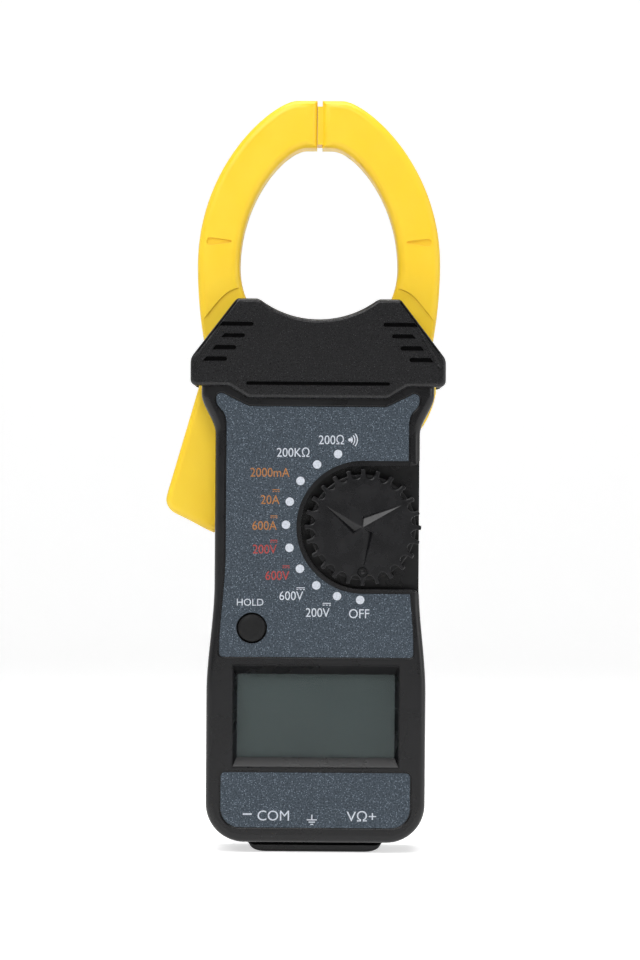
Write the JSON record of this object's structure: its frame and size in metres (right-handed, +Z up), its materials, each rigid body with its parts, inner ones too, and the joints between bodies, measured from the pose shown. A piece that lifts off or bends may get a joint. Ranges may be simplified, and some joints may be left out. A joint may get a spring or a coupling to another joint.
{
  "type": "clamp meter",
  "caption": "Hand-held clamp meter: black case, rotary selector, display and sprung trigger that opens a yellow ring-shaped pair of current-sensing jaws.",
  "frame": {"origin": "underside of the foot, midway between the two sockets, on the plane of the jaws' seam and the case's parting plane", "axes": "+Z up towards the jaws, -Y out of the display face, +X to the right of someone reading the display"},
  "size_m": [0.0875, 0.044, 0.236],
  "materials": {
    "case_abs": "smooth black moulded ABS",
    "guard_abs": "black moulded ABS with a fine spark texture",
    "jaw_abs": "yellow moulded ABS",
    "label_film": "slate printed polycarbonate film with fine flecks",
    "knob_abs": "black moulded ABS",
    "button_rubber": "black silicone rubber",
    "clear_lens": "clear acrylic",
    "lcd_cell": "grey-green liquid crystal display",
    "white_plastic": "white moulded nylon",
    "elastomer": "black elastomer",
    "circuit_board": "green solder mask on glass epoxy",
    "chip_resin": "black epoxy resin",
    "brass": "machined",
    "fuse_glass": "clear glass tube",
    "aluminium_can": "drawn can",
    "battery_can": "plain printed steel jacket",
    "lead_red": "red PVC insulation",
    "lead_black": "black PVC insulation",
    "steel": "zinc plated",
    "core_iron": "stacked silicon steel laminations",
    "copper_wire": "enamelled copper"
  },
  "bodies": {
    "meter_body": {"front_case": "case_abs", "rear_case": "case_abs", "front_guard": "guard_abs", "rear_guard": "guard_abs", "upper_label": "label_film", "lower_label": "label_film", "lcd_holder": "white_plastic", "lcd_window": "clear_lens", "lcd_glass": "lcd_cell", "zebra_strip": "elastomer", "main_board": "circuit_board", "controller_chip": "chip_resin", "buzzer": "chip_resin", "trimmer": "brass", "fuse": "fuse_glass", "capacitor": "aluminium_can", "tact_switch": "chip_resin", "battery": "battery_can", "battery_snap": "elastomer", "lead_red": "lead_red", "lead_black": "lead_black", "case_screw_lower_left": "steel", "case_screw_lower_right": "steel", "case_screw_upper_left": "steel", "case_screw_upper_right": "steel", "socket_block": "case_abs", "com_socket_sleeve": "brass", "volt_socket_sleeve": "brass", "left_pivot_pin": "steel", "right_pivot_pin": "steel", "jaw_spring": "steel"},
    "left_jaw": {"left_jaw_front_shell": "jaw_abs", "left_jaw_rear_shell": "jaw_abs", "left_core": "core_iron", "left_bobbin": "white_plastic", "left_coil": "copper_wire", "left_sector_gear": "steel", "trigger": "jaw_abs"},
    "right_jaw": {"right_jaw_front_shell": "jaw_abs", "right_jaw_rear_shell": "jaw_abs", "right_core": "core_iron", "right_bobbin": "white_plastic", "right_coil": "copper_wire", "right_sector_gear": "steel", "right_lever": "jaw_abs"},
    "selector": {"knob": "knob_abs", "switch_rotor": "white_plastic", "contact_1": "copper_wire", "contact_2": "copper_wire", "contact_3": "copper_wire", "detent_ball_1": "steel", "detent_ball_2": "steel", "detent_spring_1": "steel", "detent_spring_2": "steel"},
    "hold_key": {"hold_button": "button_rubber"},
    "door": {"battery_door": "case_abs", "door_screw": "steel"}
  },
  "joints": [
    {"name": "left_jaw_hinge", "type": "hinge", "parent": "meter_body", "child": "left_jaw", "pos_m": [-0.013, 0, 0.1455], "axis": [0, -1, 0], "range_deg": [0, 18], "stiffness_Nm_per_rad": 0.8, "springref_deg": -17.19, "deforming": ["jaw_spring"]},
    {"name": "right_jaw_hinge", "type": "hinge", "parent": "meter_body", "child": "right_jaw", "pos_m": [0.013, 0, 0.1455], "axis": [0, -1, 0], "range_deg": [-18, 0]},
    {"name": "selector_turn", "type": "hinge", "parent": "meter_body", "child": "selector", "pos_m": [0.0143, -0.019, 0.102], "axis": [0, 1, 0], "range_deg": [0, 162]},
    {"name": "hold_press", "type": "slide", "parent": "meter_body", "child": "hold_key", "axis": [0, 1, 0], "range_m": [0, 0.0006], "stiffness_N_per_m": 400, "springref_m": -0.0005},
    {"name": "battery_door_lift", "type": "slide", "parent": "meter_body", "child": "door", "axis": [0, 1, 0], "range_m": [0, 0.025]}
  ],
  "couplings": [
    {"joint": "right_jaw_hinge", "follows": "left_jaw_hinge", "ratio": -1}
  ]
}
